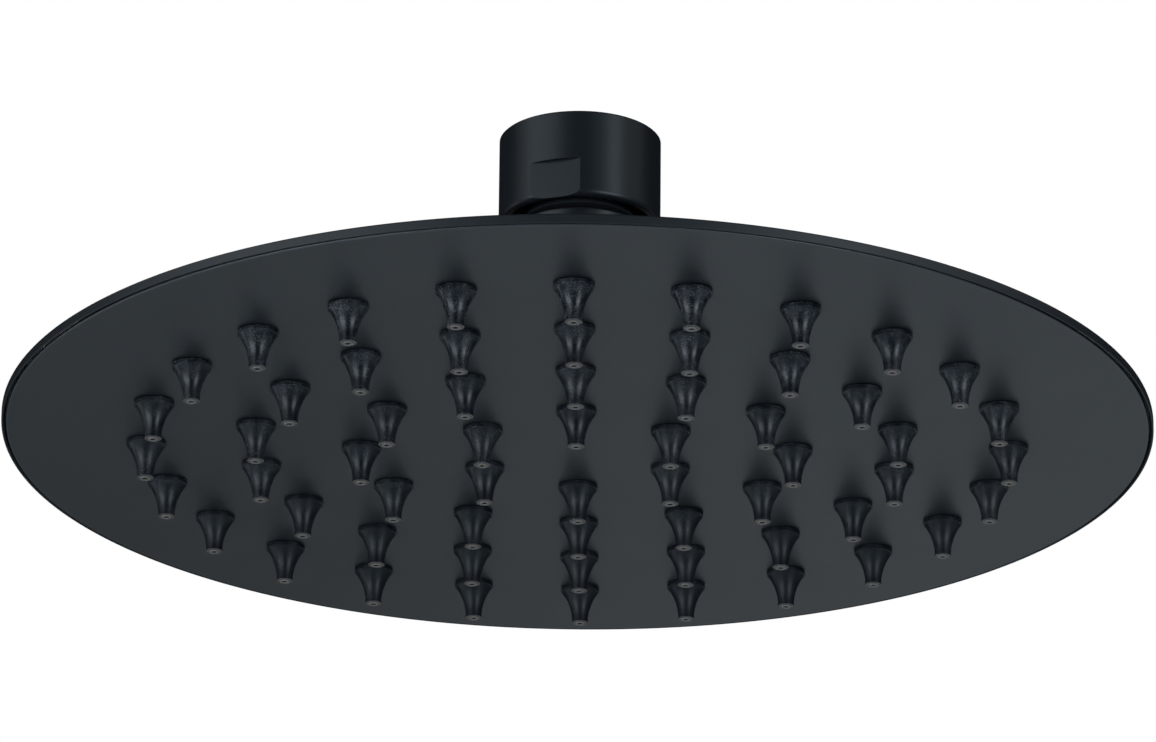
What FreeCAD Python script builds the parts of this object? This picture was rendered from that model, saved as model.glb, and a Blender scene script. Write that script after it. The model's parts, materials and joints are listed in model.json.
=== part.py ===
"""Overhead rain shower head on a ball joint.

A slim round head of two steel plates holds four rings of silicone nozzles. A bell on
its back carries the hub and the hollow ball stem, and the ball turns in a nut that
screws on the shower arm. Millimetres, +Z up. The origin is the centre of the nut's
mouth, where the arm goes in, and the head hangs below it.
"""
import FreeCAD, Part
import os
import re
import Sketcher

# Driving sizes: name, value, what it is.
SIZES = [
    # swivel nut
    ("nut_radius", 14.25, "outside of the nut"),
    ("nut_height", 15.95, "mouth to lower edge"),
    ("nut_top_chamfer", 0.3, "chamfer round the mouth end"),
    ("nut_low_chamfer", 0.85, "chamfer round the lower end"),
    ("nut_low_bulge", 0.12, "how far that chamfer is crowned"),
    ("flat_depth", 0.75, "outside of the nut down to a wrench flat"),
    ("flat_height", 6.95, "wrench flats, up from the lower end"),
    ("nut_turn", 17.9, "angle at which the tightened nut stands"),
    ("thread_radius", 9.32, "crests of the female G1/2 pipe thread"),
    ("thread_depth", 6.2, "mouth to the thread's relief"),
    ("thread_lead_in", 0.5, "countersink of the thread"),
    ("relief_radius", 10.6, "relief groove under the thread"),
    ("recess_wall", 0.5, "chamfer to the mouth of the recess for the collar"),
    ("recess_taper", 0.35, "how much narrower the recess is at its ceiling"),
    ("recess_ceiling", 1.1, "ball centre down to the ceiling"),
    ("lip_wall", 0.64, "wall of the lip that holds the liner"),
    ("lip_drop", 2.9, "ball centre down to the lip's end"),
    # ball joint
    ("ball_drop", 12.7, "mouth to ball centre"),
    ("ball_gap", 0.08, "ball to liner and to seat"),
    ("ball_flat", 2.7, "ball centre up to the ball's cut top"),
    ("liner_wall", 1.1, "thickness of the liner"),
    ("liner_gap", 0.08, "liner to nut"),
    ("liner_top", 0.2, "ball centre down to the liner's top"),
    ("seat_rise", 1.8, "ball centre up to the seat's underside"),
    ("seat_height", 2.9, "height of the seat"),
    ("seat_gap", 0.07, "seat to the nut's bore"),
    ("seat_wall", 1.17, "wall of the seat beside the widest part of the ball"),
    ("seat_groove_rise", 3.3, "ball centre up to the middle of the ring's groove"),
    ("seat_groove_width", 1.1, "groove for the seat's ring"),
    ("seat_groove_depth", 0.85, "groove for the seat's ring"),
    ("seat_ring_thickness", 0.84, "section of the seat's ring"),
    # inlet washer and filter
    ("washer_gap", 0.05, "washer to the seat"),
    ("washer_height", 1.6, "thickness of the washer"),
    ("washer_room", 0.12, "washer to the crests of the thread"),
    ("washer_hole_radius", 5.4, "hole of the washer"),
    ("screen_radius", 6.0, "filter screen"),
    ("screen_thickness", 0.3, "filter screen"),
    ("screen_fit", 0.05, "screen to its groove in the washer"),
    ("screen_hole_radius", 0.55, "hole of the screen"),
    ("screen_inner_ring", 1.9, "radius of the screen's inner ring of holes"),
    ("screen_outer_ring", 3.9, "radius of the screen's outer ring of holes"),
    # ball stem
    ("stem_neck_radius", 5.3, "neck under the ball"),
    ("stem_flange_drop", 6.5, "ball centre down to the flange"),
    ("stem_flange_radius", 7.5, "flange of the stem"),
    ("stem_flange_height", 1.8, "flange of the stem"),
    ("stem_thread_radius", 5.9, "male thread of the stem"),
    ("stem_thread_length", 7.0, "male thread of the stem"),
    ("stem_bore_radius", 3.4, "water way of the stem"),
    ("stem_key_width", 7.6, "hexagon socket in the ball, across flats"),
    ("stem_key_depth", 4.0, "hexagon socket in the ball"),
    ("stem_ring_radius", 6.75, "middle of the stem's sealing ring"),
    ("stem_ring_thickness", 0.9, "section of the stem's sealing ring"),
    ("stem_ring_fit", 0.05, "sealing ring to its groove"),
    ("stem_fit", 0.05, "stem to the hub's bore"),
    # hub
    ("collar_drop", 4.3, "ball centre down to the collar's top"),
    ("collar_height", 39.6, "collar's top above the rim of the face plate"),
    ("collar_radius", 11.4, "collar of the hub"),
    ("collar_length", 8.6, "straight collar above the hub's flange"),
    ("collar_round", 0.4, "rounding of the collar's top edge"),
    ("collar_rim", 1.2, "rim round the dish in the collar's top"),
    ("dish_depth", 1.5, "dish in the collar's top"),
    ("pocket_gap", 0.3, "stem's flange to its pocket"),
    ("hub_flange_radius", 14.5, "flange on the bell"),
    ("hub_flange_height", 2.0, "flange on the bell"),
    ("spigot_radius", 8.5, "spigot through the bell"),
    ("spigot_length", 9.5, "spigot below the flange"),
    ("outlet_radius", 4.2, "bore under the flow limiter"),
    # flow limiter
    ("limiter_room", 1.4, "end of the stem to the limiter"),
    ("limiter_radius", 5.8, "body of the limiter"),
    ("limiter_wall", 1.2, "wall of the limiter"),
    ("limiter_height", 4.8, "body of the limiter"),
    ("limiter_floor", 1.2, "spokes of the limiter"),
    ("limiter_spoke", 1.1, "width of a spoke"),
    ("limiter_post_radius", 1.5, "post of the limiter"),
    ("limiter_ring_thickness", 1.5, "section of the limiter's ring"),
    ("limiter_ring_fit", 0.1, "limiter's ring to its post and spokes"),
    # bell, gasket and nut
    ("gasket_height", 0.8, "gasket under the hub's flange"),
    ("gasket_radius", 13.6, "gasket under the hub's flange"),
    ("spigot_fit", 0.2, "bell, gasket and hub nut to the spigot"),
    ("bell_sheet", 0.8, "sheet of the bell"),
    ("bell_foot_radius", 52.0, "where the bell meets its foot"),
    ("bell_foot_width", 6.0, "foot of the bell"),
    ("bell_shoulder", 4.0, "radius of the bell's shoulder"),
    ("bell_ledge", 0.95, "hub's flange to the bell's shoulder"),
    ("hub_nut_width", 23.0, "hub nut across flats"),
    ("hub_nut_height", 3.2, "hub nut"),
    # plates
    ("disc_radius", 100.0, "whole head"),
    ("rim_height", 1.8, "side of the head"),
    ("rim_round", 0.3, "rounding of the rim's edges"),
    ("rim_wall", 0.55, "turned-down rim of the back plate"),
    ("plate_sheet", 0.6, "sheet of both plates"),
    ("opening_step", 5.0, "bell's foot to the opening of the back plate"),
    ("face_gap", 0.25, "face plate to the turned-down rim"),
    ("face_round", 0.25, "rounded edge of the face plate"),
    ("crown", 1.38, "how far the face plate bulges"),
    ("edge_ring_width", 2.2, "ring between the plates' edges"),
    ("edge_ring_gap", 0.03, "ring to the face plate"),
    ("stud_radius", 1.5, "studs between the plates"),
    ("stud_count", 12, "studs in each ring"),
    # nozzles
    ("ring_pitch", 18.75, "between two rings of nozzles"),
    ("nozzles_step", 6, "nozzles that each ring has more than the one inside it"),
    ("nozzle_length", 6.9, "plate to nozzle tip"),
    ("nozzle_flange_radius", 3.45, "flange on the plate's face"),
    ("nozzle_flange_height", 0.75, "flange on the plate's face"),
    ("nozzle_lip", 0.2, "flange's edge beyond the root of the body"),
    ("nozzle_waist_radius", 1.88, "half way down the nozzle's body"),
    ("nozzle_waist_drop", 3.65, "plate down to the waist"),
    ("nozzle_neck_radius", 1.42, "narrowest part, over the tip"),
    ("nozzle_tip_radius", 1.5, "tip of the nozzle"),
    ("nozzle_tip_height", 0.5, "straight tip of the nozzle"),
    ("nozzle_jet_radius", 0.5, "hole at the tip"),
    ("nozzle_jet_length", 1.5, "narrow part of the hole"),
    ("nozzle_bore_radius", 1.0, "hole behind the jet"),
    ("nozzle_shank_radius", 2.1, "shank in the plate's hole"),
    ("nozzle_hole_fit", 0.05, "shank to the plate's hole"),
    ("nozzle_back_radius", 2.9, "flange behind the plate"),
    ("nozzle_back_height", 0.5, "flange behind the plate"),
    ("nozzle_plate_gap", 0.1, "flanges to the plate"),
]

# Sizes and levels that follow from the driving ones.
DERIVED = {
    "lower_end": "-nut_height",
    "low_radius": "nut_radius - nut_low_chamfer",
    "recess_mouth_radius": "low_radius - recess_wall",
    "recess_top_radius": "recess_mouth_radius - recess_taper",
    "washer_radius": "thread_radius - washer_room",
    "ball_level": "-ball_drop",
    "seat_radius": "thread_radius - seat_gap",
    "ball_room": "seat_radius - seat_wall",
    "ball_radius": "ball_room - ball_gap",
    "liner_radius": "ball_room + liner_wall",
    "socket_radius": "liner_radius + liner_gap",
    "nose_radius": "socket_radius + lip_wall",
    "seat_top": "ball_level + seat_rise + seat_height",
    "washer_level": "seat_top + washer_gap",
    "screen_level": "washer_level + (washer_height - screen_thickness) / 2",
    "collar_top": "ball_level - collar_drop",
    "dish_level": "collar_top - dish_depth",
    "flange_top": "ball_level - stem_flange_drop",
    "flange_level": "flange_top - stem_flange_height",
    "hub_bore_radius": "stem_thread_radius + stem_fit",
    "stem_end": "flange_level - stem_thread_length",
    "ledge_level": "stem_end - limiter_room - limiter_height",
    "collar_foot": "collar_top - collar_length",
    "hub_flange_level": "collar_foot - hub_flange_height",
    "spigot_hole": "spigot_radius + spigot_fit",
    "bell_top": "hub_flange_level - gasket_height",
    "face_level": "collar_top - collar_height",
    "back_top": "face_level + rim_height",
    "gap_top": "back_top - plate_sheet",
    "foot_top": "back_top + bell_sheet",
    "bell_rise": "bell_top - foot_top",
    "bell_shoulder_radius": "hub_flange_radius + bell_ledge",
    "bell_span": "bell_foot_radius - bell_shoulder_radius",
    "bell_slope": "2 * atan(bell_rise / bell_span)",
    "bell_flare": "bell_rise / (1 - cos(bell_slope)) - bell_shoulder",
    "opening_radius": "bell_foot_radius - opening_step",
    "face_radius": "disc_radius - rim_wall - face_gap",
    "face_reach": "face_radius - face_round",
    "crown_radius": "(face_reach ^ 2 + crown ^ 2) / (2 * crown)",
    "crown_level": "face_level - crown",
    "hole_radius": "nozzle_shank_radius + nozzle_hole_fit",
    "edge_ring_radius": "face_radius - edge_ring_gap",
    "edge_ring_inner": "edge_ring_radius - edge_ring_width",
    "stud_ring_inner": "3.5 * ring_pitch",
    "stud_ring_outer": "(4 * ring_pitch + edge_ring_inner) / 2",
}
QUARTER_SHARE = 1 - 0.5 ** 0.5  # how far a quarter circle stays from its square corner
RINGS = (1, 2, 3, 4)

doc = FreeCAD.newDocument("rain_shower_head")
sheet = doc.addObject("Spreadsheet::Sheet", "Sizes")
for row, (name, value, note) in enumerate(SIZES, start=1):
    sheet.set(f"A{row}", name)
    sheet.set(f"B{row}", str(value))
    sheet.setAlias(f"B{row}", name)
    sheet.set(f"C{row}", note)
doc.recompute()
NAMES = {name for name, _, _ in SIZES}
parts = {}


def formula(text):
    """Turn the names in a formula into cells of the sheet."""
    def cell(found):
        word = found.group()
        if word in DERIVED:
            return f"({formula(DERIVED[word])})"
        if word in NAMES:
            return f"Sizes.{word}"
        return word
    return re.sub(r"[a-z][a-z_]*", cell, text)


def bind(thing, **sizes):
    """Bind properties to formulas. A double underscore stands for a dot."""
    for name, text in sizes.items():
        thing.setExpression(name.replace("__", "."), formula(text))


def crown_at(radius):
    """Level of the face plate's outer surface at a radius from the axis."""
    return f"crown_level + crown_radius - sqrt(crown_radius ^ 2 - ({radius}) ^ 2)"


def on_ball(size, level):
    """Radius, at a level measured from the ball's centre, of a sphere round that centre."""
    return f"sqrt(({size}) ^ 2 - ({level}) ^ 2)"


def rounded(radius, level, size, arrive, leave):
    """A corner with a quarter round: arrive and leave point from the corner along its sides."""
    def place(share, way):
        return [f"{at} + ({size}) * {share * step}" for at, step in zip((radius, level), way)]
    both = (arrive[0] + leave[0], arrive[1] + leave[1])
    return [
        tuple(place(1, arrive)),
        ("via", *place(QUARTER_SHARE, both)),
        tuple(place(1, leave)),
    ]


def draw(sketch, outline):
    """Draw a closed outline of (x, y) corners. A ("via", x, y) entry makes that side an arc."""
    corners = [item for item in outline if item[0] != "via"]
    bends = {}
    for before, item in zip(outline, outline[1:]):
        if item[0] == "via":
            bends[corners.index(before)] = item[1:]

    def place(item):
        x, y = (float(sketch.evalExpression(formula(text))) for text in item)
        return FreeCAD.Vector(x, y, 0)

    starts, ends, rules, sizes = [], [], [], []

    def fix(side, point, name, item):
        at = place(item)
        for axis, value, text in zip("XY", (at.x, at.y), item):
            rules.append(Sketcher.Constraint(f"Distance{axis}", -1, 1, side, point, value))
            sizes.append((len(rules) - 1, f"{name}_{axis.lower()}", text))

    spots = [place(item) for item in corners]
    for number, spot in enumerate(spots):
        after = spots[(number + 1) % len(spots)]
        if number in bends:
            side = sketch.addGeometry(Part.Arc(spot, place(bends[number]), after))
        else:
            side = sketch.addGeometry(Part.LineSegment(spot, after))
        first = 1 if sketch.getPoint(side, 1).distanceToPoint(spot) < 1e-6 else 2
        starts.append((side, first))
        ends.append((side, 3 - first))
    for number, item in enumerate(corners):
        rules.append(Sketcher.Constraint("Coincident", *ends[number - 1], *starts[number]))
        fix(*starts[number], f"corner_{number}", item)
    for number, item in bends.items():
        point = sketch.addGeometry(Part.Point(place(item)), True)
        rules.append(Sketcher.Constraint("PointOnObject", point, 1, starts[number][0]))
        fix(point, 1, f"bend_{number}", item)
    sketch.addConstraint(rules)
    for index, name, text in sizes:
        sketch.renameConstraint(index, name)
        sketch.setExpression(f"Constraints.{name}", formula(text))


def plane(body, role):
    return next(item for item in body.Origin.OriginFeatures if item.Role == role)


def new_body(label):
    body = doc.addObject("PartDesign::Body", label)
    body.Label = label
    body.AllowCompound = True
    return body


def new_sketch(body, role, **offset):
    """A sketch on one of the body's own planes, moved by formulas along its x, y and z."""
    sketch = body.newObject("Sketcher::SketchObject", f"{body.Name}_sketch")
    sketch.AttachmentSupport = [(plane(body, role), "")]
    sketch.MapMode = "FlatFace"
    for axis, text in offset.items():
        bind(sketch, **{f"AttachmentOffset__Base__{axis}": text})
    doc.recompute()
    return sketch


def revolve(body, outline, **offset):
    """Add the ring that an outline of (radius, level) corners sweeps round the axis."""
    sketch = new_sketch(body, "XZ_Plane", **offset)
    draw(sketch, outline)
    turned = body.newObject("PartDesign::Revolution", f"{body.Name}_turned")
    turned.Profile = sketch
    turned.ReferenceAxis = (sketch, ["V_Axis"])
    turned.Angle = 360
    doc.recompute()
    return turned


def keep(label, thing):
    """Note a finished sub-part under its label."""
    thing.Label = label
    parts[label] = thing
    return thing


def turned_part(label, outline):
    body = new_body(label)
    revolve(body, outline)
    return keep(label, body)


def circle_sketch(body, radius, level, away="0"):
    """A level sketch of one circle, whose middle stands away from the axis along -Y."""
    sketch = new_sketch(body, "XY_Plane", z=level)
    sketch.addGeometry(Part.Circle(FreeCAD.Vector(0, -1, 0), FreeCAD.Vector(0, 0, 1), 1))
    sketch.addConstraint([
        Sketcher.Constraint("DistanceX", -1, 1, 0, 3, 0),
        Sketcher.Constraint("DistanceY", -1, 1, 0, 3, -1),
        Sketcher.Constraint("Radius", 0, 1),
    ])
    sketch.setExpression("Constraints[1]", formula(f"-({away})"))
    sketch.setExpression("Constraints[2]", formula(radius))
    doc.recompute()
    return sketch


def pattern(body, feature, count):
    """Repeat a feature round the body's axis."""
    ring = body.newObject("PartDesign::PolarPattern", f"{feature.Name}_ring")
    ring.Originals = [feature]
    ring.Axis = (plane(body, "Z_Axis"), [""])
    ring.Angle = 360
    bind(ring, Occurrences=count)
    body.Tip = ring
    doc.recompute()
    return ring


def drill_ring(body, radius, away, count):
    """Drill a ring of holes down through the body."""
    before = body.Shape.Volume
    hole = body.newObject("PartDesign::Pocket", f"{body.Name}_hole")
    hole.Profile = circle_sketch(body, radius, "0", away)
    hole.Type = "ThroughAll"
    doc.recompute()
    pattern(body, hole, count)
    if body.Shape.Volume >= before:
        raise RuntimeError(f"the holes of {body.Label} cut nothing")


def pad(body, sketch, length):
    raised = body.newObject("PartDesign::Pad", f"{body.Name}_pad")
    raised.Profile = sketch
    bind(raised, Length=length)
    doc.recompute()
    return raised


def o_ring(label, radius, thickness, level):
    ring = doc.addObject("Part::Torus", label)
    bind(ring, Radius1=radius, Radius2=f"({thickness}) / 2", Placement__Base__z=level)
    return keep(label, ring)


def swivel_nut():
    """Nut that screws on the arm and holds the ball through the liner."""
    lip = "ball_level - lip_drop"
    ceiling = "ball_level - recess_ceiling"
    middle = "nut_low_chamfer / 2"
    bulge = "nut_low_bulge * sqrt(0.5)"
    body = new_body("swivel_nut")
    revolve(body, [
        ("thread_radius + thread_lead_in", "0"),
        ("nut_radius - nut_top_chamfer", "0"),
        ("nut_radius", "-nut_top_chamfer"),
        ("nut_radius", "lower_end + nut_low_chamfer"),
        ("via", f"nut_radius - {middle} + {bulge}", f"lower_end + {middle} - {bulge}"),
        ("low_radius", "lower_end"),
        ("recess_mouth_radius", "lower_end"),
        ("recess_top_radius", ceiling),
        ("nose_radius", ceiling),
        ("nose_radius", lip),
        (on_ball("socket_radius", "lip_drop"), lip),
        ("via", on_ball("socket_radius", "lip_drop / 2"), "ball_level - lip_drop / 2"),
        ("socket_radius", "ball_level"),
        ("thread_radius", "ball_level"),
        ("thread_radius", "seat_top"),
        ("relief_radius", "seat_top"),
        ("relief_radius", "-thread_depth"),
        ("thread_radius", "-thread_depth"),
        ("thread_radius", "-thread_lead_in"),
    ])
    before = body.Shape.Volume
    for side in (1, -1):
        sketch = new_sketch(body, "XY_Plane", z="lower_end")
        inner, outer = f"{side} * (nut_radius - flat_depth)", f"{side} * nut_radius"
        draw(sketch, [
            ("-nut_radius", inner), ("nut_radius", inner),
            ("nut_radius", outer), ("-nut_radius", outer),
        ])
        flat = body.newObject("PartDesign::Pocket", "wrench_flat")
        flat.Profile = sketch
        flat.Reversed = True
        bind(flat, Length="flat_height")
        doc.recompute()
    if body.Shape.Volume >= before:
        raise RuntimeError("the wrench flats cut nothing")
    bind(body, Placement__Rotation__Angle="-nut_turn")
    return keep("swivel_nut", body)


def inlet():
    """Washer that the arm's end seals on, with the filter screen held in its hole."""
    groove = "screen_radius + screen_fit"
    under, over = "screen_level - screen_fit", "screen_level + screen_thickness + screen_fit"
    turned_part("inlet_washer", [
        ("washer_hole_radius", "washer_level"),
        ("washer_radius", "washer_level"),
        ("washer_radius", "washer_level + washer_height"),
        ("washer_hole_radius", "washer_level + washer_height"),
        ("washer_hole_radius", over), (groove, over),
        (groove, under), ("washer_hole_radius", under),
    ])
    body = new_body("filter_screen")
    pad(body, circle_sketch(body, "screen_radius", "screen_level"), "screen_thickness")
    drill_ring(body, "screen_hole_radius", "screen_inner_ring", "6")
    drill_ring(body, "screen_hole_radius", "screen_outer_ring", "12")
    keep("filter_screen", body)


def ball_holders():
    """Seat above the ball, its sealing ring, and the liner under the ball's equator."""
    inner_low = on_ball("ball_room", "seat_rise")
    inner_top = on_ball("ball_room", "seat_rise + seat_height")
    half_rise = "seat_rise + seat_height / 2"
    floor = "seat_radius - seat_groove_depth"
    low = "ball_level + seat_groove_rise - seat_groove_width / 2"
    high = "ball_level + seat_groove_rise + seat_groove_width / 2"
    turned_part("ball_seat", [
        (inner_low, "ball_level + seat_rise"),
        ("seat_radius", "ball_level + seat_rise"),
        ("seat_radius", low), (floor, low), (floor, high), ("seat_radius", high),
        ("seat_radius", "seat_top"),
        (inner_top, "seat_top"),
        ("via", on_ball("ball_room", half_rise), f"ball_level + {half_rise}"),
    ])
    o_ring("seat_o_ring", "seat_radius - seat_ring_thickness / 2",
           "seat_ring_thickness", "ball_level + seat_groove_rise")
    middle = "(liner_top + lip_drop) / 2"
    turned_part("ball_liner", [
        (on_ball("ball_room", "lip_drop"), "ball_level - lip_drop"),
        (on_ball("liner_radius", "lip_drop"), "ball_level - lip_drop"),
        ("via", on_ball("liner_radius", middle), f"ball_level - {middle}"),
        (on_ball("liner_radius", "liner_top"), "ball_level - liner_top"),
        (on_ball("ball_room", "liner_top"), "ball_level - liner_top"),
        ("via", on_ball("ball_room", middle), f"ball_level - {middle}"),
    ])


def ball_stem():
    """Hollow ball on a short neck, with a flange and a thread that go into the hub."""
    neck_drop = on_ball("ball_radius", "stem_neck_radius")
    body = new_body("ball_stem")
    revolve(body, [
        ("stem_bore_radius", "ball_level + ball_flat"),
        (on_ball("ball_radius", "ball_flat"), "ball_level + ball_flat"),
        ("via", "ball_radius", "ball_level"),
        ("stem_neck_radius", f"ball_level - {neck_drop}"),
        ("stem_neck_radius", "flange_top"),
        ("stem_flange_radius", "flange_top"),
        ("stem_flange_radius", "flange_level"),
        ("stem_thread_radius", "flange_level"),
        ("stem_thread_radius", "stem_end"),
        ("stem_bore_radius", "stem_end"),
    ])
    before = body.Shape.Volume
    sketch = new_sketch(body, "XY_Plane", z="ball_level + ball_flat")
    reach = "stem_key_width / sqrt(3)"
    draw(sketch, [
        (f"{reach} * cos({turn})", f"{reach} * sin({turn})") for turn in range(0, 360, 60)
    ])
    key = body.newObject("PartDesign::Pocket", "key_socket")
    key.Profile = sketch
    bind(key, Length="stem_key_depth")
    doc.recompute()
    if body.Shape.Volume >= before:
        raise RuntimeError("the key socket cuts nothing")
    keep("ball_stem", body)
    o_ring("stem_o_ring", "stem_ring_radius", "stem_ring_thickness",
           "flange_level - stem_ring_thickness / 2 - stem_ring_fit")


def hub():
    """Collar, flange and spigot in one turned piece, with the water way through it."""
    pocket = "stem_flange_radius + pocket_gap"
    groove_in = "stem_ring_radius - stem_ring_thickness / 2 - stem_ring_fit"
    groove_out = "stem_ring_radius + stem_ring_thickness / 2 + stem_ring_fit"
    groove_floor = "flange_level - stem_ring_thickness - 2 * stem_ring_fit"
    foot = "hub_flange_level - spigot_length"
    turned_part("neck_hub", [
        ("collar_radius - collar_rim", "collar_top"),
        *rounded("collar_radius", "collar_top", "collar_round", (-1, 0), (0, -1)),
        ("collar_radius", "collar_foot"),
        ("hub_flange_radius", "collar_foot"),
        ("hub_flange_radius", "hub_flange_level"),
        ("spigot_radius", "hub_flange_level"),
        ("spigot_radius", foot),
        ("outlet_radius", foot),
        ("outlet_radius", "ledge_level"),
        ("hub_bore_radius", "ledge_level"),
        ("hub_bore_radius", "flange_level"),
        (groove_in, "flange_level"), (groove_in, groove_floor),
        (groove_out, groove_floor), (groove_out, "flange_level"),
        (pocket, "flange_level"),
        (pocket, "dish_level"),
        ("collar_radius - collar_rim", "dish_level"),
    ])


def flow_limiter():
    """Cartridge on the hub's ledge: a cup with three spokes, a post and a rubber ring."""
    inner = "limiter_radius - limiter_wall"
    body = new_body("limiter_body")
    revolve(body, [
        (inner, "ledge_level"),
        ("limiter_radius", "ledge_level"),
        ("limiter_radius", "ledge_level + limiter_height"),
        (inner, "ledge_level + limiter_height"),
    ])
    sketch = new_sketch(body, "XY_Plane", z="ledge_level")
    half = "limiter_spoke / 2"
    reach = "limiter_radius - limiter_wall / 2"
    draw(sketch, [("0", f"-{half}"), (reach, f"-{half}"), (reach, half), ("0", half)])
    spoke = pad(body, sketch, "limiter_floor")
    pattern(body, spoke, "3")
    pad(body, circle_sketch(body, "limiter_post_radius", "ledge_level"), "limiter_height")
    keep("limiter_body", body)
    o_ring("limiter_ring",
           "limiter_post_radius + limiter_ring_fit + limiter_ring_thickness / 2",
           "limiter_ring_thickness",
           "ledge_level + limiter_floor + limiter_ring_fit + limiter_ring_thickness / 2")


def bell():
    """Spun bell on the back plate, with the gasket and the nut that clamp the hub on it."""
    centre = "foot_top + bell_flare"
    slope, half = "bell_slope", "bell_slope / 2"

    def flare(size, turn):
        return (f"bell_foot_radius - ({size}) * sin({turn})", f"{centre} - ({size}) * cos({turn})")

    def shoulder(size, turn):
        level = "bell_top - bell_shoulder"
        return (f"bell_shoulder_radius + ({size}) * sin({turn})", f"{level} + ({size}) * cos({turn})")

    outer, inner = "bell_flare", "bell_flare + bell_sheet"
    round_out, round_in = "bell_shoulder", "bell_shoulder - bell_sheet"
    foot_edge = "bell_foot_radius + bell_foot_width"
    turned_part("bell", [
        ("spigot_hole", "bell_top"),
        shoulder(round_out, "0"), ("via", *shoulder(round_out, half)),
        flare(outer, slope), ("via", *flare(outer, half)),
        flare(outer, "0"),
        (foot_edge, "foot_top"),
        (foot_edge, "back_top"),
        flare(inner, "0"), ("via", *flare(inner, half)),
        flare(inner, slope), ("via", *shoulder(round_in, half)),
        shoulder(round_in, "0"),
        ("spigot_hole", "bell_top - bell_sheet"),
    ])
    turned_part("hub_gasket", [
        ("spigot_hole", "bell_top"),
        ("gasket_radius", "bell_top"),
        ("gasket_radius", "hub_flange_level"),
        ("spigot_hole", "hub_flange_level"),
    ])
    prism = doc.addObject("Part::Prism", "hub_nut_blank")
    prism.Polygon = 6
    level = "bell_top - bell_sheet - hub_nut_height"
    bind(prism, Circumradius="hub_nut_width / sqrt(3)", Height="hub_nut_height",
         Placement__Base__z=level)
    hole = doc.addObject("Part::Cylinder", "hub_nut_hole")
    bind(hole, Radius="spigot_hole", Height="hub_nut_height", Placement__Base__z=level)
    nut = doc.addObject("Part::Cut", "hub_nut")
    nut.Base = prism
    nut.Tool = hole
    keep("hub_nut", nut)


def plates():
    """Back plate with its turned-down rim, the crowned face plate and what lies between."""
    turned_part("back_plate", [
        ("opening_radius", "gap_top"),
        ("opening_radius", "back_top"),
        *rounded("disc_radius", "back_top", "rim_round", (-1, 0), (0, -1)),
        *rounded("disc_radius", "face_level", "rim_round", (0, 1), (-1, 0)),
        ("disc_radius - rim_wall", "face_level"),
        ("disc_radius - rim_wall", "gap_top"),
    ])
    body = new_body("face_plate")
    half = "face_reach / 2"
    revolve(body, [
        ("0", "crown_level + plate_sheet"),
        ("0", "crown_level"),
        ("via", half, crown_at(half)),
        ("face_reach", "face_level"),
        ("via", f"face_radius - face_round * {QUARTER_SHARE}",
         f"face_level + face_round * {QUARTER_SHARE}"),
        ("face_radius", "face_level + face_round"),
        ("face_radius", "face_level + plate_sheet"),
        ("face_reach", "face_level + plate_sheet"),
        ("via", half, f"plate_sheet + {crown_at(half)}"),
    ])
    for ring in RINGS:
        drill_ring(body, "hole_radius", f"{ring} * ring_pitch", f"{ring} * nozzles_step")
    keep("face_plate", body)
    ring_foot = "face_level + plate_sheet + edge_ring_gap"
    turned_part("edge_ring", [
        ("edge_ring_inner", ring_foot),
        ("edge_ring_radius", ring_foot),
        ("edge_ring_radius", "gap_top"),
        ("edge_ring_inner", "gap_top"),
    ])
    studs = new_body("plate_studs")
    for away in ("stud_ring_inner", "stud_ring_outer"):
        foot = f"plate_sheet + {crown_at(f'{away} + stud_radius')}"
        stud = pad(studs, circle_sketch(studs, "stud_radius", foot, away), f"gap_top - ({foot})")
        pattern(studs, stud, "stud_count")
    keep("plate_studs", studs)


def nozzle_ring(ring):
    """One ring of silicone nozzles, each gripping its hole between two flanges."""
    body = new_body(f"nozzle_ring_{ring}")
    away = f"{ring} * ring_pitch"
    flange = "-nozzle_plate_gap"
    root = f"{flange} - nozzle_flange_height"
    tip = "-nozzle_length"
    back = "plate_sheet + nozzle_plate_gap"
    sprout = revolve(body, [
        ("nozzle_jet_radius", tip),
        ("nozzle_tip_radius", tip),
        ("nozzle_tip_radius", f"{tip} + nozzle_tip_height"),
        ("nozzle_neck_radius", f"{tip} + nozzle_tip_height"),
        ("via", "nozzle_waist_radius", "-nozzle_waist_drop"),
        ("nozzle_flange_radius - nozzle_lip", root),
        ("nozzle_flange_radius", root),
        ("nozzle_flange_radius", flange),
        ("nozzle_shank_radius", flange),
        ("nozzle_shank_radius", back),
        ("nozzle_back_radius", back),
        ("nozzle_back_radius", f"{back} + nozzle_back_height"),
        ("nozzle_bore_radius", f"{back} + nozzle_back_height"),
        ("nozzle_bore_radius", f"{tip} + nozzle_jet_length"),
        ("nozzle_jet_radius", f"{tip} + nozzle_jet_length"),
    ], x=away, y=crown_at(away))
    pattern(body, sprout, f"{ring} * nozzles_step")
    body.Placement.Rotation = FreeCAD.Rotation(FreeCAD.Vector(0, 0, 1), -90)
    return keep(body.Label, body)


def check_and_write():
    """Refuse failed objects and empty or broken shapes, then write one file a sub-part."""
    doc.recompute()
    failed = [item.Label for item in doc.Objects if {"Invalid", "Error"} & set(item.State)]
    if failed:
        raise RuntimeError(f"these objects failed: {failed}")
    os.makedirs("parts", exist_ok=True)
    for label, thing in parts.items():
        shape = thing.Shape
        if shape.isNull() or not shape.isValid() or shape.Volume <= 0:
            raise RuntimeError(f"{label} has no sound shape")
        shape.exportStep(f"parts/{label}.step")
        box = shape.BoundBox
        print(f"{label}: {len(shape.Solids)} solids, {shape.Volume:.1f} mm3, "
              f"z {box.ZMin:.2f} to {box.ZMax:.2f}, reach {box.XMax:.2f}")


swivel_nut()
inlet()
ball_holders()
ball_stem()
hub()
flow_limiter()
bell()
plates()
for ring in RINGS:
    nozzle_ring(ring)
check_and_write()
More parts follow.
